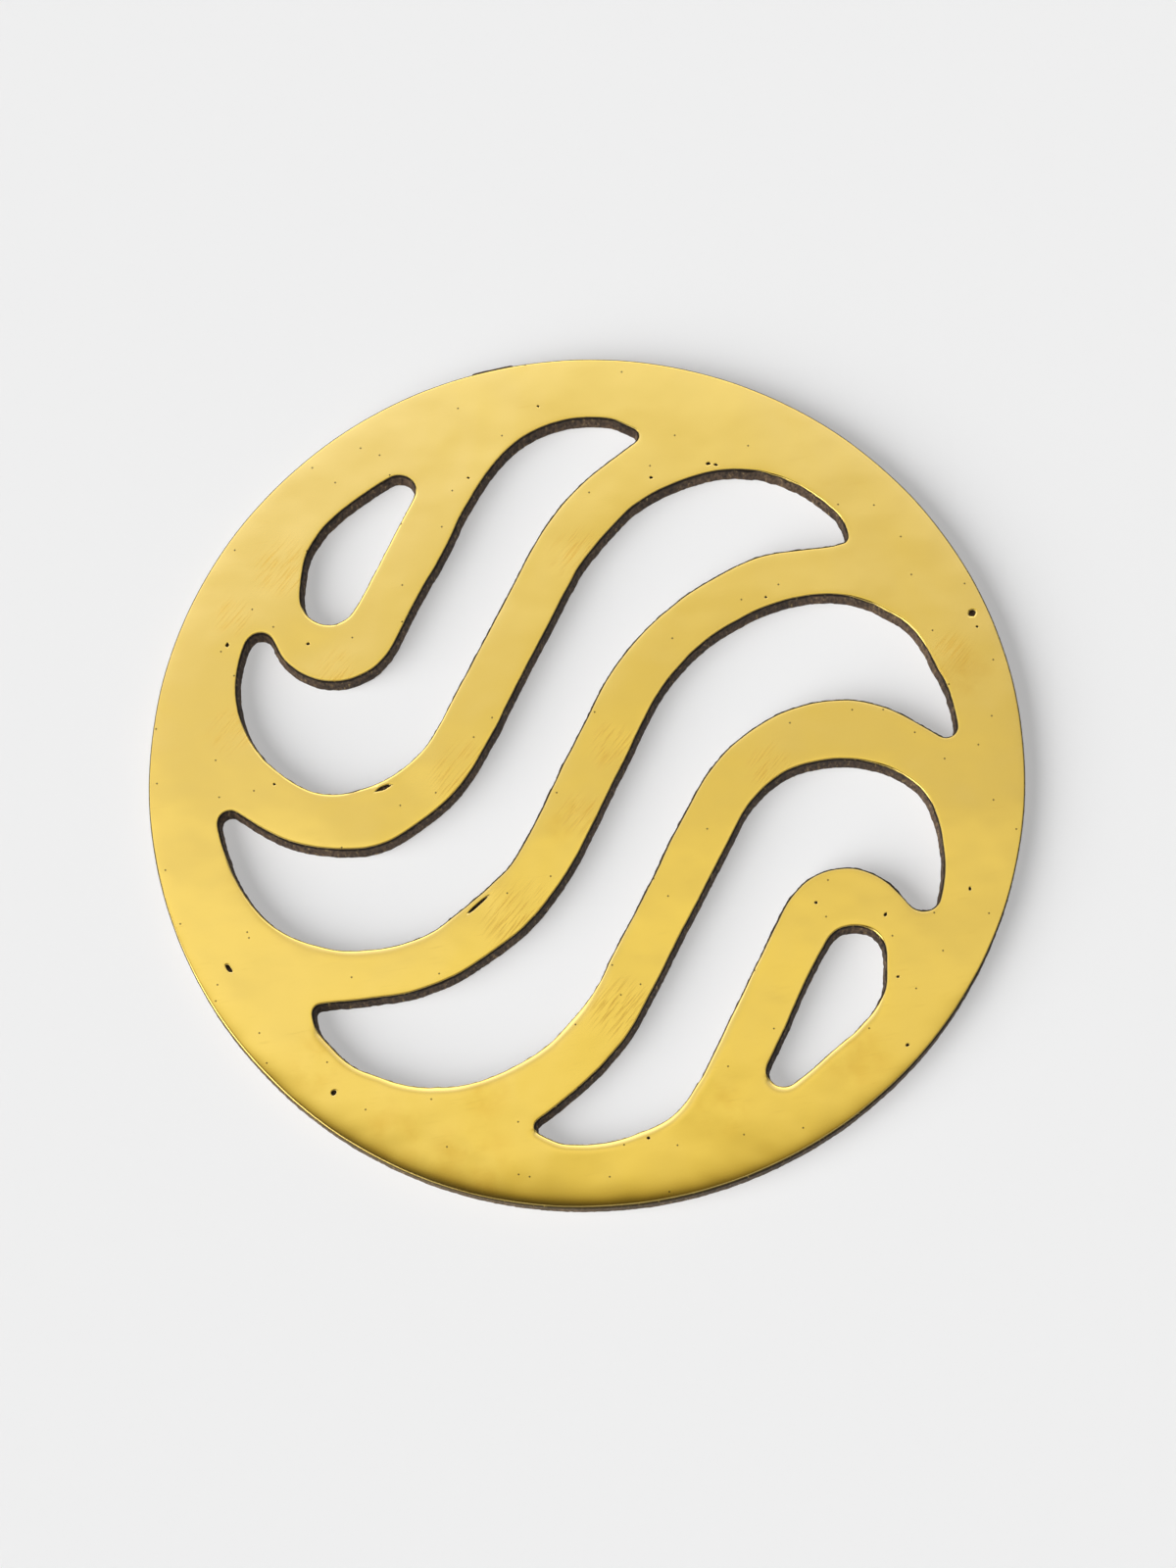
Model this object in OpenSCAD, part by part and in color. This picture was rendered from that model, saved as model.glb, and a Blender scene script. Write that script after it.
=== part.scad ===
// Round brass coaster: a sand-cast disc pierced by four waves and two drops,
// polished on top, standing on thin felt pads under its ring.
// Millimetres. The origin is the middle of the coaster on the table, with +Z up.

/* [Casting] */
// Diameter of the disc
plate_d = 110; // [90:1:140]
// Thickness of the disc
plate_t = 3; // [2:0.1:6]
// Width of the plain ring between the openings and the rim
ring_w = 8; // [6:0.5:12]
// Rounding of the rim's upper edge, worn by the polishing wheel
rim_round = 0.8; // [0.2:0.1:1.2]
// Rounding of the rim's lower edge, left by the mould
foot_round = 0.3; // [0.1:0.1:0.6]

/* [Openings] */
// How far the pattern sits off the middle of the disc, towards +X
pattern_shift = 0.25; // [-1:0.05:1]
// Largest turn between two neighbouring points of a curved wall, in degrees
wall_step = 5; // [2:1:10]

/* [Gate] */
// Bearing of the filed-off casting gate on the rim, in degrees
gate_bearing = 103; // [95:1:120]
// Width of the gate's stub along the rim
gate_w = 5.8; // [3:0.1:8]
// Height of the stub above the underside
gate_h = 1.6; // [0.5:0.1:1.9]
// How far the stub stands out from the rim
gate_proud = 0.4; // [0.1:0.1:0.8]

/* [Felt pads] */
// Thickness of a pad under the casting's weight
pad_t = 0.5; // [0.3:0.1:2]
// Land left free on either side of a pad on the ring
pad_inset = 1; // [0.7:0.1:2]
// Bearing of the first pad, in degrees; the others follow at equal angles
pad_bearing = 35; // [30:1:40]

/* [Hidden] */
// Names of the pads, in order round the ring from the first one's bearing
PADS = ["felt_pad_right", "felt_pad_back", "felt_pad_left", "felt_pad_front"];

plate_r = plate_d / 2;
// Radius of the field that the openings fill
field_r = plate_r - ring_w;
// Middle of the ring, where the pads sit, and their diameter
pad_circle_r = plate_r - ring_w / 2;
pad_d = ring_w - 2 * pad_inset;
// How far a cutting shape runs past the faces that it cuts
overcut = 1;
// Fineness of true circles on screen
$fn = 180;

// Openings in the upper left half, each a closed outline run anticlockwise.
// A row is one corner: x, y and the radius that rounds it.
// They are drawn in a field of this radius, and grow with the real one.
drawn_field_r = 47;
drop = [
    [-37, 30, 12], [-37, 21.5, 4.5], [-31.5, 18, 3.5], [-18.5, 44.5, 2]
];
short_wave = [
    [-42.5, 21, 2], [-46.5, 6, 14], [-33, -4, 11.5], [-21.5, 1, 15], [-4, 36.5, 33],
    [7, 45, 1], [3, 47, 3.5], [-10.5, 47, 17], [-25.5, 15, 9.5], [-32.5, 10, 8], [-39, 15, 9.5]
];
long_wave = [
    [-47, -3, 1.5], [-45, -12.5, 20.5], [-35.5, -25, 15], [-13, -19.5, 26.5], [9, 27, 33.5],
    [33.5, 30, 1], [33, 33, 2], [22.5, 42, 17], [3, 36, 25], [-17, -5, 23], [-33.5, -12, 17]
];
openings = [drop, short_wave, long_wave];

// Heading from p to q, in degrees
function heading(p, q) = atan2(q.y - p.y, q.x - p.x);

// Turn at b on the way from a to c, left positive, between -180 and 180
function turn(a, b, c) =
    let (change = heading(b, c) - heading(a, b))
    change > 180 ? change - 360 : change < -180 ? change + 360 : change;

// Unit vector on a bearing
function spoke(bearing) = [cos(bearing), sin(bearing)];

// Points of an outline: at every corner an arc that is tangent to both of its edges
function rounded(corners) = [
    for (i = [0 : len(corners) - 1])
        let (
            before = corners[(i + len(corners) - 1) % len(corners)],
            here = corners[i],
            after = corners[(i + 1) % len(corners)],
            bearing = heading(before, here),
            bend = turn(before, here, after),
            side = sign(bend),
            steps = ceil(abs(bend) / wall_step),
            start = [here.x, here.y] - here.z * tan(abs(bend) / 2) * spoke(bearing),
            centre = start - side * here.z * spoke(bearing - 90)
        )
        for (k = [0 : steps])
            centre + side * here.z * spoke(bearing - 90 + bend * k / steps)
];

// Quarter of a square corner that lies outside a rounding of radius r
module corner_waste(r) {
    difference() {
        square(r + overcut);
        circle(r);
    }
}

// Half section of the disc, with both edges of the rim rounded
module disc_section() {
    difference() {
        square([plate_r, plate_t]);
        translate([plate_r - rim_round, plate_t - rim_round])
            corner_waste(rim_round);
        translate([plate_r - foot_round, foot_round])
            mirror([0, 1])
                corner_waste(foot_round);
    }
}

// One opening, cut right through
module opening(corners) {
    translate([0, 0, -overcut])
        linear_extrude(plate_t + 2 * overcut)
            polygon(rounded(corners * (field_r / drawn_field_r)));
}

// Remains of the channel that the brass was poured through
module gate_stub() {
    linear_extrude(gate_h)
        intersection() {
            circle(plate_r + gate_proud);
            rotate(gate_bearing)
                translate([plate_r - ring_w / 2, -gate_w / 2])
                    square([ring_w, gate_w]);
        }
}

// The casting: the lower right half of the pattern is the upper left one turned half round
module wave_plate() {
    color([0.87, 0.75, 0.40])
        translate([0, 0, pad_t])
            union() {
                difference() {
                    rotate_extrude()
                        disc_section();
                    translate([pattern_shift, 0])
                        for (half = [0, 180], corners = openings)
                            rotate(half)
                                opening(corners);
                }
                gate_stub();
            }
}

// One disc of felt, stuck under the middle of the ring
module felt_pad(place) {
    color([0.16, 0.17, 0.14])
        rotate(pad_bearing + place * 360 / len(PADS))
            translate([pad_circle_r, 0])
                cylinder(d = pad_d, h = pad_t);
}

wave_plate();
for (place = [0 : len(PADS) - 1])
    felt_pad(place);
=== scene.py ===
"""Cast brass coaster, pierced with waves: the finished surfaces of its casting and its felt pads.

Everything is in the row frame, in metres: +Z up, the origin in the middle of the coaster on the table.
The casting and the pads are modelled in millimetres and brought to metres at the end.
"""

import math
from collections import namedtuple

import bmesh
import bpy
from bpy.props import FloatProperty, FloatVectorProperty, IntProperty, PointerProperty
from mathutils import Matrix, Vector, noise
from mathutils.bvhtree import BVHTree


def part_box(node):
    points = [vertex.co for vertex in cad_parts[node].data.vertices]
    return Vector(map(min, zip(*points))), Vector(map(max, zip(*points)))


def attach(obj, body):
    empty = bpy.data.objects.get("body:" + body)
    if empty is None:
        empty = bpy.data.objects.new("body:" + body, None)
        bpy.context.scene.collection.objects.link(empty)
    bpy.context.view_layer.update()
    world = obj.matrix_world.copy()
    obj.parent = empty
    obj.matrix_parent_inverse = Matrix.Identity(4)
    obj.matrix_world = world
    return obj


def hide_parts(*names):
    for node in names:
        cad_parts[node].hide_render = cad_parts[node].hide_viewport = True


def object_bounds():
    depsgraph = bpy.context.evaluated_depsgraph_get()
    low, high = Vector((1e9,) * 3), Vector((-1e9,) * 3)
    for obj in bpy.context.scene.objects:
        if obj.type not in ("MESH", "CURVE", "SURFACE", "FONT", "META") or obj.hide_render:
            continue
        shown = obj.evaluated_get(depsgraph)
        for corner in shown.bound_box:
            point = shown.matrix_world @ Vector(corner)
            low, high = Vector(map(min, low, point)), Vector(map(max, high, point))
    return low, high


bl_info = {
    "name": "Cast Brass Coaster",
    "version": (1, 0, 0),
    "blender": (4, 5, 0),
    "location": "View3D > Sidebar > Coaster",
    "description": "Gives the solids of a pierced brass coaster their finished surfaces and a plain stage",
    "category": "Add Mesh",
}

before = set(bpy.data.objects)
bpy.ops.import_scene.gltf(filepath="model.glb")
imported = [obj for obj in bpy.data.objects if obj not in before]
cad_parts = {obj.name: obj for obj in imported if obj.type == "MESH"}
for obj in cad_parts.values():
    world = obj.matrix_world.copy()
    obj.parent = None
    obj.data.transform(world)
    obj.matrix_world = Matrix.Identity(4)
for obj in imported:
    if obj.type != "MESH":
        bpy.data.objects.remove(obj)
CAD_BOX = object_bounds()

BODY = "root"
PLATE = "wave_plate"
PADS = ("felt_pad_right", "felt_pad_back", "felt_pad_left", "felt_pad_front")

# One millimetre, in metres
MM = 0.001
# Points of the CAD mesh nearer than this are one point, in metres
WELD = 1e-6
# Height of the polished top, in metres
TOP = CAD_BOX[1].z
RIGHT_ANGLE = math.pi / 2
DOWN = Vector((0, 0, -1))
# Name of the attribute that says how much of the casting's dark skin is left: 0 polished off, 1 all of it
SKIN = "skin"


def linear(hex_colour):
    """Turn an sRGB hex colour into linear red, green and blue."""
    shares = [int(hex_colour[i:i + 2], 16) / 255 for i in (1, 3, 5)]
    return tuple(s / 12.92 if s <= 0.04045 else ((s + 0.055) / 1.055) ** 2.4 for s in shares)


class CastingSettings(bpy.types.PropertyGroup):
    """Sizes and colours of the brass casting"""

    point_spacing: FloatProperty(
        name="Point spacing", description="Longest stretch between two points along an edge",
        default=0.36 * MM, unit="LENGTH")
    pillow_width: FloatProperty(
        name="Pillow width", description="How far from an opening the polishing wheel has rounded the top",
        default=1.0 * MM, unit="LENGTH")
    pillow_drop: FloatProperty(
        name="Pillow drop", description="How much lower the top is beside an opening",
        default=0.006 * MM, unit="LENGTH")
    lip_round: FloatProperty(
        name="Lip rounding", description="Radius of the polished lip round an opening",
        default=0.27 * MM, unit="LENGTH")
    foot_round: FloatProperty(
        name="Foot rounding", description="Radius of the as-cast lower edges",
        default=0.2 * MM, unit="LENGTH")
    draft: FloatProperty(
        name="Draft",
        description="How much narrower an opening is at its foot, so that the pattern left the sand",
        default=0.31 * MM, unit="LENGTH")
    shoulder_width: FloatProperty(
        name="Shoulder width", description="How far in from the rim the polishing wheel has rounded the top",
        default=5.2 * MM, unit="LENGTH")
    shoulder_drop: FloatProperty(
        name="Shoulder drop", description="How much lower the top is at the rim where it was worn most",
        default=0.17 * MM, unit="LENGTH")
    shoulder_bearing: FloatProperty(
        name="Shoulder bearing", description="Where the rim was worn most",
        default=math.radians(264), subtype="ANGLE")
    shoulder_least: FloatProperty(
        name="Shoulder least", description="Share of that drop on the far side of the rim", default=0.16)
    rim_round: FloatProperty(
        name="Rim rounding", description="Radius of the rim's upper edge",
        default=0.18 * MM, unit="LENGTH")
    edge_waver: FloatProperty(
        name="Edge waver", description="How far the edges of the openings stray from their drawn line",
        default=0.12 * MM, unit="LENGTH")
    wall_grain: FloatProperty(
        name="Wall grain", description="Roughness that the moulding sand has left on the walls",
        default=0.09 * MM, unit="LENGTH")
    gate_bearing: FloatProperty(
        name="Gate bearing", description="Where on the rim the filed-off casting gate is",
        default=math.radians(103), subtype="ANGLE")
    gate_width: FloatProperty(
        name="Gate width", description="Width of the gate's stub along the rim",
        default=5.8 * MM, unit="LENGTH")
    gate_proud: FloatProperty(
        name="Gate proud", description="How far the gate's stub stands out from the rim",
        default=0.39 * MM, unit="LENGTH")
    gate_height: FloatProperty(
        name="Gate height", description="Height of the gate's stub above the underside",
        default=2.2 * MM, unit="LENGTH")
    brass: FloatVectorProperty(
        name="Polished brass", description="Colour of the polished top",
        default=linear("#F1D276"), subtype="COLOR")
    tarnish: FloatVectorProperty(
        name="Tarnish", description="Colour of the faint stains on the polished top",
        default=linear("#DAA93C"), subtype="COLOR")
    skin: FloatVectorProperty(
        name="Casting skin", description="Colour of the dark oxide on the walls",
        default=linear("#3B2E22"), subtype="COLOR")


class FeltSettings(bpy.types.PropertyGroup):
    """Sizes and colours of the felt pads"""

    edge_round: FloatProperty(
        name="Edge rounding", description="Rounding of a pad's pressed edges",
        default=0.12 * MM, unit="LENGTH")
    waver: FloatProperty(
        name="Edge waver", description="How far the cut edge strays from a circle",
        default=0.06 * MM, unit="LENGTH")
    segments: IntProperty(
        name="Segments", description="Number of sides round a pad", default=96)
    wool: FloatVectorProperty(
        name="Wool", description="Colour of the felt", default=linear("#3A3B35"), subtype="COLOR")
    fibre: FloatVectorProperty(
        name="Fibre", description="Colour of the paler fibres in it",
        default=linear("#6B6A60"), subtype="COLOR")


class StageSettings(bpy.types.PropertyGroup):
    """Floor, light and camera"""

    floor_radius: FloatProperty(
        name="Floor radius", description="Reach of the floor round the coaster", default=12.0, unit="LENGTH")
    floor: FloatVectorProperty(
        name="Floor", description="Colour of the floor", default=linear("#EFEFEF"), subtype="COLOR")
    fill_share: FloatProperty(
        name="Fill share", description="Share of the floor's light that comes from everywhere", default=0.5)
    key_share: FloatProperty(
        name="Key share", description="Share of the floor's light that the key light gives", default=0.5)
    key_bearing: FloatProperty(
        name="Key bearing", description="Direction that the key light comes from",
        default=math.radians(208), subtype="ANGLE")
    key_elevation: FloatProperty(
        name="Key elevation", description="Height of the key light above the horizon",
        default=math.radians(34), subtype="ANGLE")
    key_size: FloatProperty(
        name="Key size", description="Width of the key light, as an angle",
        default=math.radians(58), subtype="ANGLE")
    window_bearing: FloatProperty(
        name="Window bearing", description="Direction of the tall window that the brass mirrors",
        default=math.radians(202), subtype="ANGLE")
    camera_azimuth: FloatProperty(
        name="Camera azimuth", description="Turn of the camera about the coaster, from straight in front",
        default=math.radians(7.53), subtype="ANGLE")
    camera_elevation: FloatProperty(
        name="Camera elevation", description="Height of the camera above the horizon",
        default=math.radians(75.5), subtype="ANGLE")
    camera_roll: FloatProperty(
        name="Camera roll", description="Turn of the camera about its own axis",
        default=math.radians(-7.29), subtype="ANGLE")
    camera_distance: FloatProperty(
        name="Camera distance", description="Distance from the camera to the point that it looks at",
        default=0.6, unit="LENGTH")
    camera_lens: FloatProperty(
        name="Camera lens", description="Focal length in millimetres on a 36 mm long side", default=109.39)
    camera_target: FloatVectorProperty(
        name="Camera target", description="Point that the camera looks at",
        default=(0.19 * MM, -0.51 * MM, 0.5 * MM), subtype="TRANSLATION")


# Blow holes in the polished top, in millimetres: x, y, length, width and bearing of the length in degrees
HOLES = (
    (48.6, 21.0, 1.05, 0.85, 20), (49.2, 19.2, 0.36, 0.3, 0), (-44.2, -24.95, 1.25, 0.6, 128),
    (-30.8, -40.6, 0.75, 0.6, 30), (-45.5, 16.9, 0.6, 0.45, 60),
    (-35.3, 17.0, 0.45, 0.36, 20), (15.3, 40.85, 0.6, 0.4, 10), (16.25, 40.7, 0.5, 0.34, 170),
    (8.0, 39.0, 0.45, 0.36, 0), (28.8, -16.5, 0.42, 0.34, 0), (37.4, -18.0, 0.52, 0.36, 45),
    (47.9, -14.7, 0.46, 0.36, 80), (40.0, -34.5, 0.46, 0.36, 20), (38.9, -25.9, 0.4, 0.3, 0),
    (-15.3, 39.0, 0.36, 0.3, 0), (-6.5, 48.6, 0.34, 0.28, 0), (-39.1, -1.3, 0.36, 0.3, 0),
    (22.6, 23.1, 0.36, 0.3, 0), (8.1, -46.2, 0.42, 0.34, 0), (-25.3, -1.75, 2.1, 0.52, 24),
    (-13.35, -16.85, 3.4, 0.42, 43),
)
# Rings of a blow hole: size as a share of its mouth, depth as a share of it all, and darkness
HOLE_RINGS = ((1.6, 0, 0), (1.2, 0, 0), (1.02, 0.03, 0.3), (0.92, 0.35, 1), (0.6, 1, 1))
# Number of sides of a blow hole, and its depth as a share of its width
HOLE_SIDES = 14
HOLE_DEPTH = 0.9
# Places where the hand-cut pattern strayed from its drawing, in millimetres: x, y, reach and the way it went
STRAYED = (
    (-32, -24, 13, -0.1, 0.5), (35, 25, 14, 0.25, 0.45), (42, -2, 8, 0.6, 0.65),
    (-41, 18.5, 5, 0.2, 0.65), (42.5, -18, 5, 0.15, 0.4), (37.2, -28.4, 5, 0.45, -0.1),
    (-30, 36, 8, -0.25, 0.3), (-30, -36.5, 6, -0.3, -0.5), (-13.5, 39, 8, 0.38, -0.3),
    (31, 2, 7, 0, -0.45), (-14, -16, 7, -0.35, 0.35), (34, 31, 4.2, -0.8, 0.1),
    (41.5, 18.2, 5.5, 0.42, 0.35), (32.6, 34.4, 4, -0.15, -0.2), (22, 27.5, 9, -0.15, 0.5),
    (-26, -8.5, 7, 0.1, -0.45), (36, -21, 4, 0.4, 0.3), (-33.5, -2, 6, 0, -0.4),
    (-33, -31, 4.5, -0.45, 0), (-37, 25, 4.5, 0.4, 0), (-18.7, 29.5, 6, 0.35, -0.15),
    (33.4, 33.3, 2, -0.2, -0.15), (4.2, 45, 5, -0.15, -0.3), (11, -43, 5, 0.2, -0.3),
    (25.5, -36.5, 8, 0.35, -0.28), (1.5, 31.5, 6, 0.25, -0.2), (-23, 39, 4, -0.13, -0.3),
)
# Where the polishing wheel ran over a lip: the bearing that the lip faces, in degrees, the cosine of how far
# off that bearing the wheel stopped, and the x in millimetres between which it ran
POLISHED_LIPS = ((60, 0.7, -70, 22), (233, 0.85, 0, 70), (150, 0.7, -70, -14))
# Bearing that the rim faces where the wheel ran over it, in degrees
POLISHED_RIM = 232
# Bearing that the rim faces where it is painted darkest with extra skin, as painted shade on the side away
# from the light, in degrees
SHADED_RIM_BEARING = -20
# Share of the way round an edge over which the skin comes in
SKIN_FADE = 0.2
# Places where the polishing marks show, in millimetres: x, y and reach
SCUFFS = (
    (-38.8, 27.2, 5), (-44.6, 5.5, 4), (-31.5, 13.2, 4), (-15, 0, 6), (-8, -18.5, 6), (4.5, -30, 5),
    (3.6, 3.4, 4.5), (-0.5, -5, 4), (46, 15.5, 4), (23, 1, 4), (-45, 20.5, 3.5), (-1, 28.5, 5),
)
# Faint stains, in millimetres: x, y and reach
STAINS = (
    (-1, -4, 2.5), (-3, -7, 2.5), (16.8, -42.5, 5), (-12, -41, 4), (-23, -46, 6), (-33, -37, 5),
    (34, -36, 6), (47, 13, 5), (-14, -50, 8), (12, 30, 3),
)
# Ends of openings where the mould has crumbled, in millimetres: x, y and radius
RAGGED = (
    (24, 36, 11), (44, 12, 11), (40, -12, 10), (35.5, -24, 8), (-22, -31, 8), (-41, -3, 6), (-40, 20, 5),
)
# Lengths of the slow and the quick waver of an opening's edge and of the walls' grain, in millimetres
SLOW_WAVER = 6
QUICK_WAVER = 1.3
WALL_GRAIN = 0.55
# Steps round a polished edge, round a cast or cut one, and down the walls of an opening and of the rim
POLISHED_STEPS = 6
CAST_STEPS = 3
OPENING_STEPS = 6
RIM_STEPS = 3
# Flat bands that keep the shading level beside the worn edges and under the foot, in millimetres
OPENING_LEVEL = 0.25
RIM_LEVEL = 0.4
FOOT_LEVEL = 0.3
# Tones that the brass mirrors from the front to the back, as the direction's y and a linear colour: a pale
# wall, the dark behind the camera, a strip light and a white ceiling
TONES = (
    (-1, (0.5, 0.48, 0.44)), (-0.85, (0.45, 0.43, 0.4)), (-0.68, (0.06, 0.06, 0.06)),
    (-0.1, (0.07, 0.06, 0.03)), (0.02, (0.24, 0.2, 0.07)), (0.1, (0.6, 0.54, 0.24)),
    (0.16, (0.92, 0.88, 0.54)), (0.2, (1.27, 1.28, 1.05)), (0.25, (0.7, 0.66, 0.45)),
    (0.3, (0.9, 0.89, 0.87)), (0.35, (1.07, 1.14, 1.5)), (0.45, (0.9, 0.9, 0.95)),
    (1, (0.75, 0.75, 0.75)),
)
# Tints from the left to the right, as the direction's x and a linear colour: from cool and bright to warm
# and dark
TINTS = (
    (-0.2, (1.12, 1.12, 1.2)), (-0.075, (1.03, 1.04, 1.17)), (-0.045, (1.0, 0.98, 0.78)),
    (-0.02, (0.98, 0.95, 0.68)), (0.03, (0.94, 0.92, 0.87)), (0.12, (0.87, 0.85, 0.8)),
    (0.2, (0.82, 0.81, 0.78)),
)

# One ring of points round an edge, in millimetres: how far it lies in from the drawn wall, how far below the
# top, how much further down the polishing wheel may have taken it, how far round the edge it is, from 0 on
# the top to 1 on the wall, and how rough it is cast
Ring = namedtuple("Ring", "inset depth worn turn grain")
# A casting in the making: its mesh, its settings, the layers of its points that say where each was drawn,
# the way into the brass and the skin left, and its top, thickness and radius in millimetres
Casting = namedtuple("Casting", "bm settings drawn inward skin top thickness radius")


def quarter(steps):
    """Angles of a quarter turn, both ends included."""
    return [RIGHT_ANGLE * step / steps for step in range(steps + 1)]


def spoke(bearing):
    """Unit vector on a bearing in degrees."""
    return Vector((math.cos(math.radians(bearing)), math.sin(math.radians(bearing)), 0))


def ramp(value, start, end):
    """How far a value is on the way from a start to an end, from 0 to 1."""
    return min(1, max(0, (value - start) / (end - start)))


def down_the_wall(start, end, steps):
    """Depths between the ends of an upright wall, both left out."""
    return [start + (end - start) * step / steps for step in range(1, steps)]


def foot_rings(thickness, foot):
    """Rings round the as-cast lower edge, with a flat one that holds the underside level."""
    grain = 0.6
    rings = [
        Ring(foot * (1 - math.cos(angle)), thickness - foot * (1 - math.sin(angle)), 0, 1, grain)
        for angle in quarter(CAST_STEPS)
    ]
    return rings + [Ring(foot + FOOT_LEVEL, thickness, 0, 1, 0)]


def opening_rings(settings, thickness):
    """Rings of an opening: the worn band beside it, the polished lip, the cast wall and the foot."""
    width = settings.pillow_width / MM
    drop = settings.pillow_drop / MM
    lip = settings.lip_round / MM
    foot = settings.foot_round / MM
    rings = [Ring(lip + width + OPENING_LEVEL, 0, 0, 0, 0)]
    for share in (0, 0.4, 0.7, 0.88):
        rings.append(Ring(lip + width * (1 - share), 0, drop * share ** 4, 0, 0))
    for angle in quarter(POLISHED_STEPS):
        inset = lip * (1 - math.sin(angle))
        rounded = lip * (1 - math.cos(angle))
        # The sand's grain comes in on the way round the lip
        rings.append(Ring(inset, rounded, drop, angle / RIGHT_ANGLE, angle ** 2 / 3))
    rings += [Ring(0, depth, 0, 1, 1) for depth in down_the_wall(lip, thickness - foot, OPENING_STEPS)]
    rings += foot_rings(thickness, foot)
    lean = settings.draft / MM / (thickness - lip)
    return [ring._replace(inset=ring.inset - lean * max(0, ring.depth - lip)) for ring in rings]


def worn_share(inset, width):
    """Share of the shoulder's drop at an inset from the rim. It grows fast near the rim."""
    soft = 0.8
    return (math.log((width + soft) / (inset + soft)) / math.log(width / soft + 1)) ** 2


def rim_rings(settings, thickness):
    """Rings of the rim: the worn shoulder, the rounded edge, the filed wall and the foot."""
    width = settings.shoulder_width / MM
    drop = settings.shoulder_drop / MM
    edge = settings.rim_round / MM
    foot = settings.foot_round / MM
    gate = thickness - settings.gate_height / MM
    # The shoulder's rings crowd together towards the rim
    steps = 12
    crowding = 1.6
    # Grain of the rounded edge, just below it and on the filed wall
    edge_grain = 0.1
    upper_grain = 0.3
    filed_grain = 0.35
    below_edge = 0.06
    # Half the height of the step at the top of the gate's stub
    ledge = 0.03
    rings = [Ring(width + RIM_LEVEL, 0, 0, 0, 0)]
    for step in range(steps):
        inset = edge + (width - edge) * (1 - step / steps) ** crowding
        rings.append(Ring(inset, 0, drop * worn_share(inset, width), 0, 0))
    for angle in quarter(POLISHED_STEPS):
        inset = edge * (1 - math.sin(angle))
        rounded = edge * (1 - math.cos(angle))
        rings.append(Ring(inset, rounded, drop * worn_share(inset, width), angle / RIGHT_ANGLE, edge_grain))
    rings.append(Ring(0, edge + below_edge, drop, 1, upper_grain))
    depths = [gate - ledge, gate + ledge] + down_the_wall(gate + ledge, thickness - foot, RIM_STEPS)
    rings += [Ring(0, depth, 0, 1, filed_grain) for depth in depths]
    return rings + foot_rings(thickness, foot)


def circle_wire(bm, sides, radius):
    """Add a circle about the origin and return its edges."""
    verts = bmesh.ops.create_circle(bm, cap_ends=False, segments=sides, radius=radius)["verts"]
    return list(dict.fromkeys(edge for vert in verts for edge in vert.link_edges))


def wire_points(wire):
    """The points of a closed wire, each once."""
    return list(dict.fromkeys(vert for edge in wire for vert in edge.verts))


def extrude_wire(bm, wire):
    """Extrude a closed wire into a strip of faces and return the wire on its far side."""
    made = bmesh.ops.extrude_edge_only(bm, edges=wire)["geom"]
    far = {item for item in made if isinstance(item, bmesh.types.BMVert)}
    return [item for item in made if isinstance(item, bmesh.types.BMEdge) and far.issuperset(item.verts)]


def opening_wires(bm):
    """Cut a copy of the casting down to the edges where its flat top meets the walls of its openings."""
    bm.from_mesh(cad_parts[PLATE].data)
    bmesh.ops.remove_doubles(bm, verts=bm.verts, dist=WELD)
    bmesh.ops.scale(bm, vec=(1 / MM,) * 3, verts=bm.verts)
    bm.normal_update()
    tolerance = 0.01
    top = max(vert.co.z for vert in bm.verts) - tolerance
    upright = 0.05
    level = 0.99
    kept = set()
    for edge in bm.edges:
        tilts = sorted(face.normal.z for face in edge.link_faces)
        if min(vert.co.z for vert in edge.verts) > top and abs(tilts[0]) < upright and tilts[1] > level:
            kept.add(edge)
    bmesh.ops.delete(bm, geom=bm.faces[:], context="FACES_ONLY")
    bmesh.ops.delete(bm, geom=[edge for edge in bm.edges if edge not in kept], context="EDGES")


def even_out(bm, spacing):
    """Divide the long edges, so that no two neighbouring points are further apart than the spacing."""
    by_cuts = {}
    for edge in bm.edges:
        by_cuts.setdefault(math.ceil(edge.calc_length() / spacing) - 1, []).append(edge)
    for cuts, edges in sorted(by_cuts.items()):
        if cuts:
            bmesh.ops.subdivide_edges(bm, edges=edges, cuts=cuts)
    smoothings = 12
    for _ in range(smoothings):
        bmesh.ops.smooth_vert(bm, verts=bm.verts, factor=0.5, use_axis_x=True, use_axis_y=True)


def stray(place):
    """How far the hand-cut pattern strayed from its drawing at a place, in millimetres."""
    total = Vector((0, 0, 0))
    for x, y, reach, across, along in STRAYED:
        apart = math.hypot(place.x - x, place.y - y) / reach
        total += Vector((across, along, 0)) * max(0, 1 - apart ** 2) ** 2
    return total


def note_drawn(bm, wire, drawn, inward):
    """Write on each point of the openings' wires where it was drawn and the way into the brass."""
    strip = extrude_wire(bm, wire)
    bmesh.ops.translate(bm, vec=DOWN, verts=wire_points(strip))
    bmesh.ops.recalc_face_normals(bm, faces=bm.faces)
    bm.normal_update()
    for vert in wire_points(wire):
        vert[drawn] = vert.co
        vert[inward] = vert.normal
    bmesh.ops.delete(bm, geom=wire_points(strip), context="VERTS")


def crumble(place):
    """How ragged the edge is at a place, from 0 to 1."""
    nearest = min((place - Vector((x, y, place.z))).length / reach for x, y, reach in RAGGED)
    return max(0, 1 - nearest ** 2)


def waver(settings, place, grain):
    """How far an opening's edge strays from its drawn line: little on the lip, more on the cast wall."""
    slow = noise.fractal(place / SLOW_WAVER, 1, 2, 2)
    quick = noise.fractal(place / QUICK_WAVER + Vector((7, 3, 1)), 0.8, 2, 3)
    return settings.edge_waver / MM * (slow + (0.1 + grain * (0.4 + 1.2 * crumble(place))) * quick)


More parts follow.
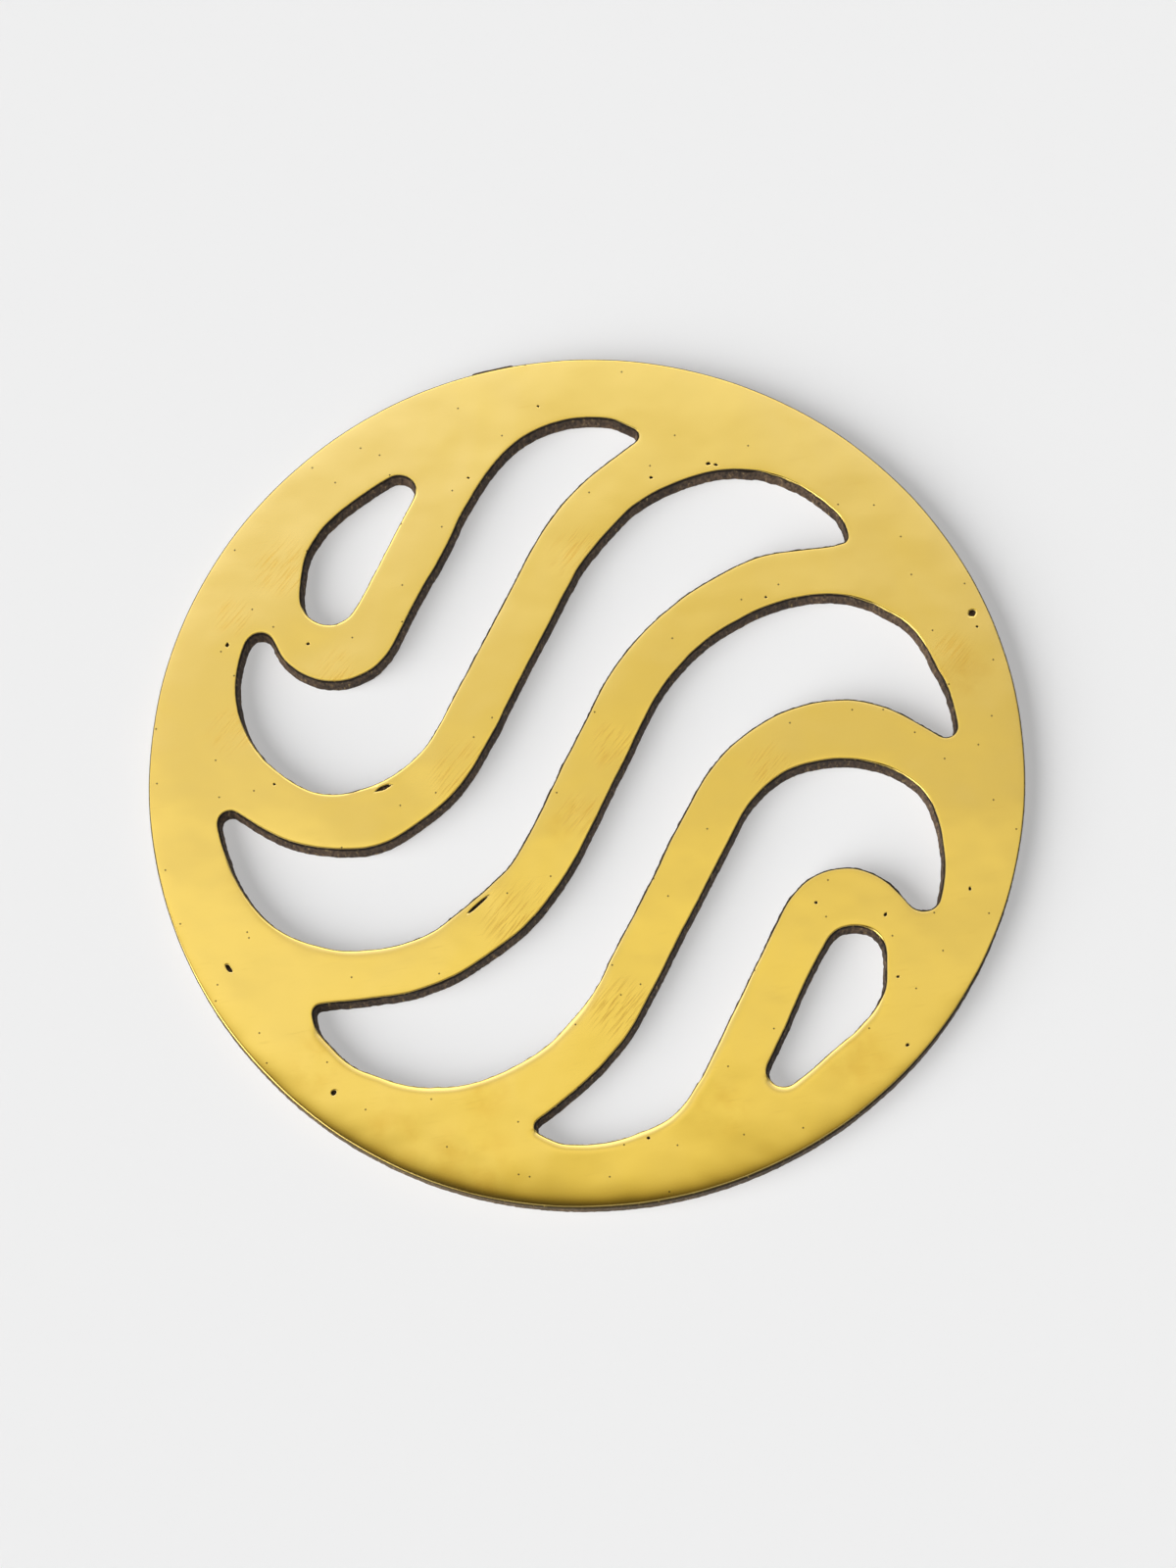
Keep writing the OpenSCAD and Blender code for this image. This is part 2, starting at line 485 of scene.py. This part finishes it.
def place_rings(casting, wire, rings, vary):
    """Extrude a wire ring by ring along a profile. Returns the first wire and the last one.

    For a place, the way that its wall faces and a ring, the function vary says how far the point is moved
    into the brass, how many times over it is worn and how much skin it has left.
    """
    first = wire
    grain = casting.settings.wall_grain / MM
    for number, ring in enumerate(rings):
        if number:
            wire = extrude_wire(casting.bm, wire)
        for vert in wire_points(wire):
            place = vert[casting.drawn].copy()
            shift, wear, vert[casting.skin] = vary(place, -vert[casting.inward], ring)
            place.z = casting.top - ring.depth - ring.worn * wear
            rough = ring.grain * grain * noise.fractal(place / WALL_GRAIN, 0.7, 2, 3)
            vert.co = place + vert[casting.inward] * (ring.inset + shift + rough)
    return first, wire


def line_openings(casting, wire):
    """Model the lips and walls of the openings. Returns the wires on the top and on the underside."""
    settings = casting.settings

    def vary(place, facing, ring):
        # The lips in front that face the back are worn most
        front = ramp(facing.y, 0.2, 0.6) * ramp(-place.y, 16, 30)
        wear = (1 + 7 * front) * (1 + 0.4 * noise.fractal(place / 11 + Vector((3, 8, 2)), 1, 2, 2))
        polish = max(
            ramp(facing.dot(spoke(bearing)), stop, stop + 0.12)
            * ramp(min(place.x - start, end - place.x), 0, 12)
            for bearing, stop, start, end in POLISHED_LIPS)
        # How far round the lip the brass is bare
        bare = max(0.1 * ramp(-facing.y, -0.3, 0.3), 0.53 * polish, 0.64 * front)
        return waver(settings, place, ring.grain), wear, ramp(ring.turn, bare, bare + SKIN_FADE)

    return place_rings(casting, wire, opening_rings(settings, casting.thickness), vary)


def turn_rim(casting):
    """Model the rim and the gate's stub on it. Returns the wires on the top and on the underside."""
    settings = casting.settings
    sides = math.ceil(2 * math.pi * casting.radius / (settings.point_spacing / MM))
    wire = circle_wire(casting.bm, sides, casting.radius)
    for vert in wire_points(wire):
        vert[casting.drawn] = vert.co
        vert[casting.inward] = -vert.co.normalized()
    gate = spoke(math.degrees(settings.gate_bearing)) * casting.radius
    gate_height = settings.gate_height / MM
    worst = spoke(math.degrees(settings.shoulder_bearing))

    def vary(place, facing, ring):
        # The rim is worn more at the sides than at the back, and most in front
        side = settings.shoulder_least * (1.9 - 0.9 * abs(facing.y))
        wear = side + (1 - side) * (0.5 + 0.5 * facing.dot(worst)) ** 7
        beside = settings.gate_width / MM / 2 - (place - gate).length
        under = casting.thickness - ring.depth < gate_height and ring.inset < 0.25
        proud = settings.gate_proud / MM * ramp(beside, 0, 0.3) if under else 0
        dent = max(0, 0.04 * (noise.fractal(place / 9, 1, 2, 2) + 1))
        # Where it was worn most, the edge is rounder too
        broad = 0.22 * ramp(facing.dot(worst), 0.2, 0.8) * (1 - math.sin(ring.turn * RIGHT_ANGLE))
        bare = 0.06 + 0.32 * ramp(facing.dot(spoke(POLISHED_RIM)), 0.75, 0.95)
        # Painted shade: the rim gets more skin, and so is darker, where it faces away from the light; the
        # gate's stub keeps all its skin
        dark = 1 if proud else 0.94 + 0.06 * max(0, facing.dot(spoke(SHADED_RIM_BEARING)))
        return dent + broad - proud, wear, dark * ramp(ring.turn, bare, bare + SKIN_FADE)

    return place_rings(casting, wire, rim_rings(settings, casting.thickness), vary)


def made_from(near, wire):
    """The points of a wire that an extrusion has made from a point."""
    ends = set(wire_points(wire))
    return [edge.other_vert(near) for edge in near.link_edges if edge.other_vert(near) in ends]


def faces_round(bm, surface, middle, along, length, width):
    """Faces of the top round a blow hole: a row of round patches, so that it stays close to a long slit."""
    reach = 0.9 * width + 0.15
    spread = max(0, 0.85 * length + 0.1 - reach)
    steps = math.ceil(spread / width)
    level = 0.7
    hits = set()
    for step in range(-steps, steps + 1):
        patch = surface.find_nearest_range(middle + along * spread * step / max(1, steps), reach)
        hits.update(index for _, _, index, _ in patch)
    bm.faces.ensure_lookup_table()
    return [bm.faces[index] for index in sorted(hits) if bm.faces[index].normal.z > level]


def sink_hole(bm, hole, skin):
    """Cut one blow hole into the top: its surroundings are cut out and filled again round it."""
    x, y, length, width, bearing = hole
    along = spoke(bearing)
    across = Vector((-along.y, along.x, 0))
    surface = BVHTree.FromBMesh(bm)
    above = Vector((x, y, 10))
    middle = surface.ray_cast(above, DOWN)[0]
    cut = faces_round(bm, surface, middle, along, length, width)
    border = dict.fromkeys(edge for face in cut for edge in face.edges)
    border = [edge for edge in border if sum(face in cut for face in edge.link_faces) == 1]
    wire = circle_wire(bm, HOLE_SIDES, 1)
    arms = {vert: vert.co.copy() for vert in wire_points(wire)}
    mouth = wire
    for number, (share, sunk, dark) in enumerate(HOLE_RINGS):
        if number:
            old = wire_points(wire)
            wire = extrude_wire(bm, wire)
            arms = {vert: arms[near] for near in old for vert in made_from(near, wire)}
        for vert in wire_points(wire):
            arm = arms[vert]
            uneven = 1 + 0.35 * noise.noise(arm * 1.3 + Vector((x, y, 0)))
            spot = above + share * uneven * (along * arm.x * length / 2 + across * arm.y * width / 2)
            ground = surface.ray_cast(spot, DOWN)[0] or middle
            vert.co = (spot.x, spot.y, ground.z - sunk * HOLE_DEPTH * width)
            vert[skin] = dark
    bmesh.ops.contextual_create(bm, geom=wire)
    bmesh.ops.delete(bm, geom=cut, context="FACES")
    bmesh.ops.triangle_fill(bm, use_beauty=True, edges=border + mouth, normal=(0, 0, 1))


def pad_profile(radius, half, edge):
    """Rings down a pad's side with its two rounded edges: reach and height of each."""
    upper = [
        (radius - edge * (1 - math.sin(angle)), half - edge * (1 - math.cos(angle)))
        for angle in quarter(CAST_STEPS)
    ]
    return upper + [(reach, -level) for reach, level in reversed(upper)]


def felt_disc(settings, low, high):
    """Model a disc of felt that fills a box: a frayed side and two flat faces."""
    centre = (low + high) / 2 / MM
    radius = min(high.x - low.x, high.y - low.y) / 2 / MM
    half = (high.z - low.z) / MM / 2
    bm = bmesh.new()
    first = circle_wire(bm, settings.segments, 1)
    wire = first
    for number, (reach, level) in enumerate(pad_profile(radius, half, settings.edge_round / MM)):
        if number:
            wire = extrude_wire(bm, wire)
        for vert in wire_points(wire):
            arm = Vector((vert.co.x, vert.co.y, 0)).normalized()
            fray = noise.fractal(arm * 4 + centre + Vector((0, 0, level)), 1, 2, 3) - 1
            vert.co = arm * (reach + settings.waver / MM * fray)
            vert.co.z = level
    for wire, level in ((first, half), (wire, -half)):
        for share in (0.85, 0.6, 0.3):
            wire = extrude_wire(bm, wire)
            for vert in wire_points(wire):
                vert.co = Vector((vert.co.x, vert.co.y, 0)).normalized() * radius * share
                vert.co.z = level
        bmesh.ops.contextual_create(bm, geom=wire)
    bmesh.ops.recalc_face_normals(bm, faces=bm.faces)
    bmesh.ops.translate(bm, vec=centre, verts=bm.verts)
    bmesh.ops.scale(bm, vec=(MM,) * 3, verts=bm.verts)
    return bm


def finish_mesh(bm, name, material):
    """Turn a bmesh into a smooth-shaded object at the origin."""
    for face in bm.faces:
        face.smooth = True
    mesh = bpy.data.meshes.new(name)
    bm.to_mesh(mesh)
    bm.free()
    mesh.materials.append(material)
    piece = bpy.data.objects.new(name, mesh)
    bpy.context.scene.collection.objects.link(piece)
    return piece


def set_sockets(tree, node, sockets):
    """Set a node's sockets to values, or link them to sockets or to the first output of other nodes."""
    for name, value in sockets.items():
        if isinstance(value, bpy.types.Node):
            value = next(output for output in value.outputs if output.enabled)
        if isinstance(value, bpy.types.NodeSocket):
            tree.links.new(value, node.inputs[name])
        else:
            node.inputs[name].default_value = value


# A Mix node's sockets go by number: 0 is the share, 2 and 3 are two numbers, and 6 and 7 are two colours
def add_node(tree, kind, sockets=None, **settings):
    """Add a node with its settings, and set or link its sockets."""
    node = tree.nodes.new(kind)
    for name, value in settings.items():
        setattr(node, name, value)
    set_sockets(tree, node, sockets or {})
    return node


def new_material(name):
    """Start a material with a plain Principled shader, and return it with its tree and shader."""
    material = bpy.data.materials.new(name)
    material.use_nodes = True
    tree = material.node_tree
    return material, tree, tree.nodes["Principled BSDF"]


def opaque(colour):
    """A colour with full alpha, as a colour socket takes it."""
    return (*colour, 1)


def spots(tree, place, places):
    """Soft discs about places on the top: 1 in their middles and 0 outside."""
    total = 0.0
    for x, y, reach in places:
        away = add_node(
            tree, "ShaderNodeVectorMath", {0: place, 1: (x * MM, y * MM, TOP)}, operation="DISTANCE")
        disc = add_node(
            tree, "ShaderNodeMapRange",
            {"Value": away, "From Min": reach * MM, "From Max": 0.3 * reach * MM},
            interpolation_type="SMOOTHSTEP")
        total = add_node(tree, "ShaderNodeMath", {0: disc, 1: total}, operation="MAXIMUM")
    return total


def strokes(tree, place, bearing, start, end):
    """Polishing marks, 4 mm long and 0.22 mm wide, on a bearing in degrees. A higher start leaves fewer."""
    turned = add_node(
        tree, "ShaderNodeMapping", {"Vector": place, "Rotation": (0, 0, -math.radians(bearing))})
    drawn_out = add_node(
        tree, "ShaderNodeMapping",
        {"Vector": turned, "Scale": (1 / (4 * MM), 1 / (0.22 * MM), 1 / (4 * MM))})
    scratch = add_node(
        tree, "ShaderNodeTexNoise", {"Vector": drawn_out, "Scale": 1.0, "Detail": 2.0, "Roughness": 0.6})
    return add_node(tree, "ShaderNodeMapRange", {"Value": scratch, "From Min": start, "From Max": end})


def polishing_marks(tree, place):
    """Most marks run up to the right and show in places, and a few fainter ones cross the whole face."""
    groups = add_node(
        tree, "ShaderNodeMath", {0: strokes(tree, place, 52, 0.5, 0.64), 1: spots(tree, place, SCUFFS)},
        operation="MULTIPLY")
    strays = add_node(
        tree, "ShaderNodeMath", {0: strokes(tree, place, 12, 0.62, 0.8), 1: 0.3}, operation="MULTIPLY")
    return add_node(tree, "ShaderNodeMath", {0: groups, 1: strays}, operation="ADD")


def polished_colour(tree, place, settings, scratches):
    """Colour of the polished top: yellow brass, warmer in stains and scratches, with dark pinholes."""
    # Faint stains, patchy over about 3 mm
    stain = add_node(tree, "ShaderNodeTexNoise", {"Vector": place, "Scale": 1 / (3 * MM), "Detail": 4.0})
    patchy = add_node(
        tree, "ShaderNodeMapRange", {"Value": stain, "From Min": 0.4, "From Max": 0.7, "To Max": 0.3})
    stained = add_node(
        tree, "ShaderNodeMath", {0: patchy, 1: spots(tree, place, STAINS)}, operation="MULTIPLY")
    tarnish = opaque(settings.tarnish)
    gold = add_node(
        tree, "ShaderNodeMix", {0: stained, 6: opaque(settings.brass), 7: tarnish}, data_type="RGBA")
    scored = add_node(tree, "ShaderNodeMath", {0: scratches, 1: 0.55}, operation="MULTIPLY")
    worn = add_node(tree, "ShaderNodeMix", {0: scored, 6: gold, 7: tarnish}, data_type="RGBA")
    # Pinholes, 0.25 mm across, about 7 mm apart
    pinhole = add_node(
        tree, "ShaderNodeTexVoronoi", {"Vector": place, "Scale": 1 / (7 * MM)}, voronoi_dimensions="2D")
    pinholes = add_node(
        tree, "ShaderNodeMapRange", {"Value": pinhole, "From Min": 0.02, "From Max": 0.013, "To Max": 0.8})
    return add_node(
        tree, "ShaderNodeMix", {0: pinholes, 6: worn, 7: opaque(settings.skin)}, data_type="RGBA")


def oxide_and_painted_reflection(tree, place, settings, sand, ripple):
    """Colour of the skin: grainy and cloudy oxide, with a black band painted in the half millimetre under
    the lips that stands in for their dark reflection.
    """
    dark = opaque([0.2 * share for share in settings.skin])
    pale = opaque([3.7 * share for share in settings.skin])
    grainy = add_node(tree, "ShaderNodeMapRange", {"Value": sand, "From Min": 0.3, "From Max": 0.75})
    height = add_node(tree, "ShaderNodeSeparateXYZ", {"Vector": place}).outputs["Z"]
    # Painted dark reflection: a black band just under the lips, where the rounded lips mirror the dark in
    # front
    painted_reflection_fade = add_node(
        tree, "ShaderNodeMapRange",
        {"Value": height, "From Min": TOP - 0.65 * MM, "From Max": TOP - 0.3 * MM,
         "To Min": 1.0, "To Max": 0.05},
        interpolation_type="SMOOTHSTEP")
    cloudy = add_node(
        tree, "ShaderNodeMapRange",
        {"Value": ripple, "From Min": 0.35, "From Max": 0.65, "To Min": 0.7, "To Max": 1.4})
    grain_under_painted_reflection = add_node(tree, "ShaderNodeMath", {0: grainy, 1: painted_reflection_fade}, operation="MULTIPLY")
    paleness = add_node(tree, "ShaderNodeMath", {0: grain_under_painted_reflection, 1: cloudy}, operation="MULTIPLY")
    return add_node(tree, "ShaderNodeMix", {0: paleness, 6: dark, 7: pale}, data_type="RGBA")


def cast_brass(settings):
    """Sand-cast brass, polished on a wheel on top and left with its dark oxide skin on the walls.

    The eye sees a soft yellow mirror with faint polishing scratches and stains, and charcoal, sandy walls.
    """
    material, tree, shader = new_material("sand_cast_brass_polished_on_top")
    place = add_node(tree, "ShaderNodeTexCoord").outputs["Object"]
    whole = add_node(tree, "ShaderNodeAttribute", attribute_name=SKIN).outputs["Fac"]
    scratches = polishing_marks(tree, place)
    # Slow unevenness of the hand-polished face, about 14 mm and 5 mm from crest to crest
    swell = add_node(tree, "ShaderNodeTexNoise", {"Vector": place, "Scale": 1 / (14 * MM), "Detail": 1.0})
    ripple = add_node(tree, "ShaderNodeTexNoise", {"Vector": place, "Scale": 1 / (5 * MM), "Detail": 1.0})
    # Grain of the moulding sand, 0.4 mm, drawn out to 1.2 mm down the walls as the pattern was lifted
    lifted = add_node(
        tree, "ShaderNodeMapping",
        {"Vector": place, "Scale": (1 / (0.4 * MM), 1 / (0.4 * MM), 1 / (1.2 * MM))})
    sand = add_node(
        tree, "ShaderNodeTexNoise", {"Vector": lifted, "Scale": 1.0, "Detail": 4.0, "Roughness": 0.65})
    # The skin has worn through to the brass on the highest grains
    flecked = add_node(
        tree, "ShaderNodeMapRange",
        {"Value": sand, "From Min": 0.6, "From Max": 0.75, "To Min": 1.0, "To Max": 0.6})
    skin = add_node(tree, "ShaderNodeMath", {0: flecked, 1: whole}, operation="MULTIPLY")

    polished = polished_colour(tree, place, settings, scratches)
    # The walls' oxide colour also carries the painted dark reflection under the lips
    oxide = oxide_and_painted_reflection(tree, place, settings, sand, ripple)
    colour = add_node(tree, "ShaderNodeMix", {0: skin, 6: polished, 7: oxide}, data_type="RGBA")
    metal = add_node(tree, "ShaderNodeMapRange", {"Value": skin, "To Min": 1.0, "To Max": 0.0})
    mirror = add_node(tree, "ShaderNodeMapRange", {"Value": scratches, "To Min": 0.14, "To Max": 0.24})
    rough = add_node(tree, "ShaderNodeMix", {0: skin, 2: mirror, 3: 0.75}, data_type="FLOAT")

    undulation = add_node(tree, "ShaderNodeBump", {"Height": swell, "Strength": 1.0, "Distance": 0.17 * MM})
    dimpling = add_node(
        tree, "ShaderNodeBump",
        {"Height": ripple, "Strength": 1.0, "Distance": 0.03 * MM, "Normal": undulation})
    scoring = add_node(
        tree, "ShaderNodeBump",
        {"Height": scratches, "Strength": 0.08, "Distance": 0.01 * MM, "Normal": dimpling}, invert=True)
    sandiness = add_node(
        tree, "ShaderNodeBump",
        {"Height": sand, "Strength": skin, "Distance": 0.12 * MM, "Normal": scoring})
    set_sockets(tree, shader, {
        "Base Color": colour, "Metallic": metal, "Roughness": rough, "Normal": sandiness,
        "Specular IOR Level": 0.25})
    return material


def pressed_felt(settings):
    """Pressed wool felt, die-cut. The eye sees a matt dark cloth of tangled fibres with a soft bloom."""
    material, tree, shader = new_material("pressed_wool_felt")
    place = add_node(tree, "ShaderNodeTexCoord").outputs["Object"]
    # Tangle of fibres, about 0.25 mm
    tangle = add_node(
        tree, "ShaderNodeTexNoise",
        {"Vector": place, "Scale": 1 / (0.25 * MM), "Detail": 6.0, "Roughness": 0.7, "Distortion": 1.5})
    colour = add_node(
        tree, "ShaderNodeMix", {0: tangle, 6: opaque(settings.wool), 7: opaque(settings.fibre)},
        data_type="RGBA")
    fluff = add_node(tree, "ShaderNodeBump", {"Height": tangle, "Strength": 0.8, "Distance": 0.1 * MM})
    set_sockets(tree, shader, {
        "Base Color": colour, "Normal": fluff, "Roughness": 0.95, "Sheen Weight": 0.3,
        "Sheen Roughness": 0.6})
    return material


def studio_paper(settings):
    """Matt white studio paper. The eye sees an even pale ground that only the coaster's shadow marks."""
    material, tree, shader = new_material("matt_studio_paper")
    set_sockets(tree, shader, {
        "Base Color": opaque(settings.floor), "Roughness": 1.0, "Specular IOR Level": 0.0})
    return material


def gradient(tree, value, stops):
    """Colours that run from stop to stop along a value, and stay the same beyond the ends."""
    start, first = stops[0]
    end, last = stops[-1]
    way = add_node(tree, "ShaderNodeMapRange", {"Value": value, "From Min": start, "From Max": end})
    colours = add_node(tree, "ShaderNodeValToRGB", {"Fac": way})
    elements = colours.color_ramp.elements
    elements[0].color = opaque(first)
    elements[1].color = opaque(last)
    for stop, colour in stops[1:-1]:
        elements.new((stop - start) / (end - start)).color = opaque(colour)
    return colours


def soft_light(tree, edges):
    """Strength of a light with soft edges.

    Each edge is a measure of the direction, where it starts and ends, and the strengths there.
    """
    strength = 1.0
    for measure, start, end, low, high in edges:
        edge = add_node(
            tree, "ShaderNodeMapRange",
            {"Value": measure, "From Min": start, "From Max": end, "To Min": low, "To Max": high},
            interpolation_type="SMOOTHSTEP")
        strength = add_node(tree, "ShaderNodeMath", {0: edge, 1: strength}, operation="MULTIPLY")
    return strength


class COASTER_OT_wave_plate(bpy.types.Operator):
    """Model the brass casting with its worn lips, rough walls, blow holes and gate stub"""

    bl_idname = "coaster.wave_plate"
    bl_label = "Wave plate"

    def execute(self, context):
        settings = context.scene.coaster_casting
        low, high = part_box(PLATE)
        bm = bmesh.new()
        opening_wires(bm)
        even_out(bm, settings.point_spacing / MM)
        for vert in bm.verts:
            vert.co += stray(vert.co)
        for name in ("drawn", "inward"):
            bm.verts.layers.float_vector.new(name)
        casting = Casting(
            bm=bm, settings=settings, skin=bm.verts.layers.float.new(SKIN),
            drawn=bm.verts.layers.float_vector["drawn"], inward=bm.verts.layers.float_vector["inward"],
            top=high.z / MM, thickness=(high.z - low.z) / MM,
            radius=min(high.x - low.x, high.y - low.y) / 2 / MM)
        openings = bm.edges[:]
        note_drawn(bm, openings, casting.drawn, casting.inward)
        upper, lower = line_openings(casting, openings)
        rim_upper, rim_lower = turn_rim(casting)

        bmesh.ops.triangle_fill(bm, use_beauty=True, edges=upper + rim_upper, normal=(0, 0, 1))
        bmesh.ops.triangle_fill(bm, use_beauty=True, edges=lower + rim_lower, normal=(0, 0, -1))
        for vert in wire_points(lower + rim_lower):
            vert[casting.skin] = 1
        bmesh.ops.recalc_face_normals(bm, faces=bm.faces)
        for hole in HOLES:
            bm.normal_update()
            sink_hole(bm, hole, casting.skin)
        bmesh.ops.recalc_face_normals(bm, faces=bm.faces)
        bmesh.ops.scale(bm, vec=(MM,) * 3, verts=bm.verts)
        for name in ("drawn", "inward"):
            bm.verts.layers.float_vector.remove(bm.verts.layers.float_vector[name])

        plate = finish_mesh(bm, "brass_casting", cast_brass(settings))
        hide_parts(PLATE)
        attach(plate, BODY)
        return {"FINISHED"}


class COASTER_OT_felt_pads(bpy.types.Operator):
    """Model the felt pads as soft-edged discs of pressed wool"""

    bl_idname = "coaster.felt_pads"
    bl_label = "Felt pads"

    def execute(self, context):
        settings = context.scene.coaster_felt
        felt = pressed_felt(settings)
        for node in PADS:
            low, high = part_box(node)
            disc = felt_disc(settings, low, high)
            pad = finish_mesh(disc, node.replace("felt_pad", "felt_disc"), felt)
            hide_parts(node)
            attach(pad, BODY)
        return {"FINISHED"}


class COASTER_OT_stage(bpy.types.Operator):
    """Set up the pale floor, the soft studio light and the camera"""

    bl_idname = "coaster.stage"
    bl_label = "Stage"

    def execute(self, context):
        settings = context.scene.coaster_stage
        scene = context.scene
        scene.view_settings.view_transform = "Standard"
        self.lay_floor(settings)
        self.light_surroundings(scene, settings)
        self.hang_lamps(scene, settings)
        self.set_camera(scene, settings)
        return {"FINISHED"}

    def lay_floor(self, settings):
        """A wide disc of paper, a hair below the pads so that the two don't lie in one plane."""
        sides = 64
        hair = 0.01 * MM
        bm = bmesh.new()
        bmesh.ops.create_circle(bm, cap_ends=True, segments=sides, radius=settings.floor_radius)
        bmesh.ops.translate(bm, vec=(0, 0, CAD_BOX[0].z - hair), verts=bm.verts)
        finish_mesh(bm, "floor", studio_paper(settings))

    def light_surroundings(self, scene, settings):
        """What the brass mirrors.

        It is bright above and behind and dark in front, with pale walls low down all round, a tall window at
        the front left and a strip light at the back.
        """
        world = bpy.data.worlds.new("soft_studio")
        world.use_nodes = True
        scene.world = world
        # The lamps light all that is matt, so that the dark front costs the floor no light
        world.cycles_visibility.diffuse = False
        tree = world.node_tree
        direction = add_node(tree, "ShaderNodeTexCoord").outputs["Generated"]
        axes = add_node(tree, "ShaderNodeSeparateXYZ", {"Vector": direction}).outputs
        tinted = add_node(
            tree, "ShaderNodeVectorMath",
            {0: gradient(tree, axes["Y"], TONES), 1: gradient(tree, axes["X"], TINTS)}, operation="MULTIPLY")
        # The right is in shade
        shade = soft_light(tree, [(axes["X"], 0.1, 0.5, 1.0, 0.08)])
        shaded = add_node(tree, "ShaderNodeVectorMath", {0: tinted, "Scale": shade}, operation="SCALE")
        walls = soft_light(tree, [(axes["Z"], 0.75, 0.5, 0.0, 0.4)])
        room = add_node(tree, "ShaderNodeVectorMath", {0: shaded, 1: walls}, operation="MAXIMUM")

        bearing = settings.window_bearing
        towards = (math.cos(bearing), math.sin(bearing), 0)
        across = (-math.sin(bearing), math.cos(bearing), 0)
        ahead = add_node(tree, "ShaderNodeVectorMath", {0: direction, 1: towards}, operation="DOT_PRODUCT")
        aside = add_node(tree, "ShaderNodeVectorMath", {0: direction, 1: across}, operation="DOT_PRODUCT")
        off = add_node(tree, "ShaderNodeMath", {0: aside}, operation="ABSOLUTE")
        window = soft_light(tree, [
            (ahead, 0.42, 0.58, 0.0, 3.4), (off, 0.48, 0.36, 0.0, 1.0), (axes["Z"], 0.45, 0.65, 0.25, 1.0)])

        # The strip light comes further forward on the left
        leaning = add_node(
            tree, "ShaderNodeMath", {0: axes["X"], 1: -0.2, 2: axes["Y"]}, operation="MULTIPLY_ADD")
        rear = add_node(tree, "ShaderNodeMath", {0: leaning, 1: axes["Y"]}, operation="MAXIMUM")
        strip = soft_light(tree, [
            (rear, 0.38, 0.6, 0.0, 2.0), (axes["X"], -0.8, -0.6, 0.0, 1.0),
            (axes["X"], 0.8, 0.55, 0.0, 1.0), (axes["Z"], 0.66, 0.8, 0.1, 1.0)])

        lights = add_node(tree, "ShaderNodeMath", {0: window, 1: strip}, operation="ADD")
        total = add_node(tree, "ShaderNodeVectorMath", {0: room, 1: lights}, operation="ADD")
        set_sockets(tree, tree.nodes["Background"], {"Color": total})

    def hang_lamps(self, scene, settings):
        """A broad key light from the front left, and a fill from above that casts no shadow."""
        key = settings.key_share, settings.key_bearing, settings.key_elevation, settings.key_size, True
        fill = settings.fill_share, 0, RIGHT_ANGLE, 0, False
        for name, (share, bearing, elevation, size, shadow) in {"key": key, "fill": fill}.items():
            light = bpy.data.lights.new(name, "SUN")
            light.angle = size
            light.energy = math.pi * share / math.sin(elevation)
            light.use_shadow = shadow
            lamp = bpy.data.objects.new(name, light)
            lamp.visible_glossy = False
            flat = math.cos(elevation)
            towards = Vector((math.cos(bearing) * flat, math.sin(bearing) * flat, math.sin(elevation)))
            lamp.rotation_euler = towards.to_track_quat("Z", "Y").to_euler()
            scene.collection.objects.link(lamp)

    def set_camera(self, scene, settings):
        """The camera at the photograph's place, turned and rolled as it was."""
        azimuth = settings.camera_azimuth
        elevation = settings.camera_elevation
        roll = settings.camera_roll
        flat = math.cos(elevation)
        back = Vector((math.sin(azimuth) * flat, -math.cos(azimuth) * flat, math.sin(elevation)))
        level = Vector((math.cos(azimuth), math.sin(azimuth), 0))
        upright = back.cross(level)
        right = level * math.cos(roll) + upright * math.sin(roll)
        up = upright * math.cos(roll) - level * math.sin(roll)
        data = bpy.data.cameras.new("camera")
        data.lens = settings.camera_lens
        camera = bpy.data.objects.new("camera", data)
        turn = Matrix((right, up, back)).transposed().to_4x4()
        camera.matrix_world = Matrix.Translation(
            Vector(settings.camera_target) + back * settings.camera_distance) @ turn
        scene.collection.objects.link(camera)
        scene.camera = camera


class COASTER_PT_panel(bpy.types.Panel):
    """Sidebar panel with the coaster's settings and its pieces"""

    bl_idname = "COASTER_PT_panel"
    bl_label = "Coaster"
    bl_space_type = "VIEW_3D"
    bl_region_type = "UI"
    bl_category = "Coaster"

    def draw(self, context):
        scene = context.scene
        groups = (
            (COASTER_OT_stage, scene.coaster_stage),
            (COASTER_OT_wave_plate, scene.coaster_casting),
            (COASTER_OT_felt_pads, scene.coaster_felt),
        )
        for operator, settings in groups:
            box = self.layout.box()
            for name in settings.__annotations__:
                box.prop(settings, name)
            box.operator(operator.bl_idname)


CLASSES = (
    CastingSettings, FeltSettings, StageSettings,
    COASTER_OT_stage, COASTER_OT_wave_plate, COASTER_OT_felt_pads, COASTER_PT_panel,
)


def register():
    for cls in CLASSES:
        bpy.utils.register_class(cls)
    bpy.types.Scene.coaster_casting = PointerProperty(type=CastingSettings)
    bpy.types.Scene.coaster_felt = PointerProperty(type=FeltSettings)
    bpy.types.Scene.coaster_stage = PointerProperty(type=StageSettings)


def unregister():
    del bpy.types.Scene.coaster_stage
    del bpy.types.Scene.coaster_felt
    del bpy.types.Scene.coaster_casting
    for cls in reversed(CLASSES):
        bpy.utils.unregister_class(cls)


def main():
    """Dress the coaster."""
    register()
    bpy.ops.coaster.stage()
    bpy.ops.coaster.wave_plate()
    bpy.ops.coaster.felt_pads()


if __name__ == "__main__":
    main()
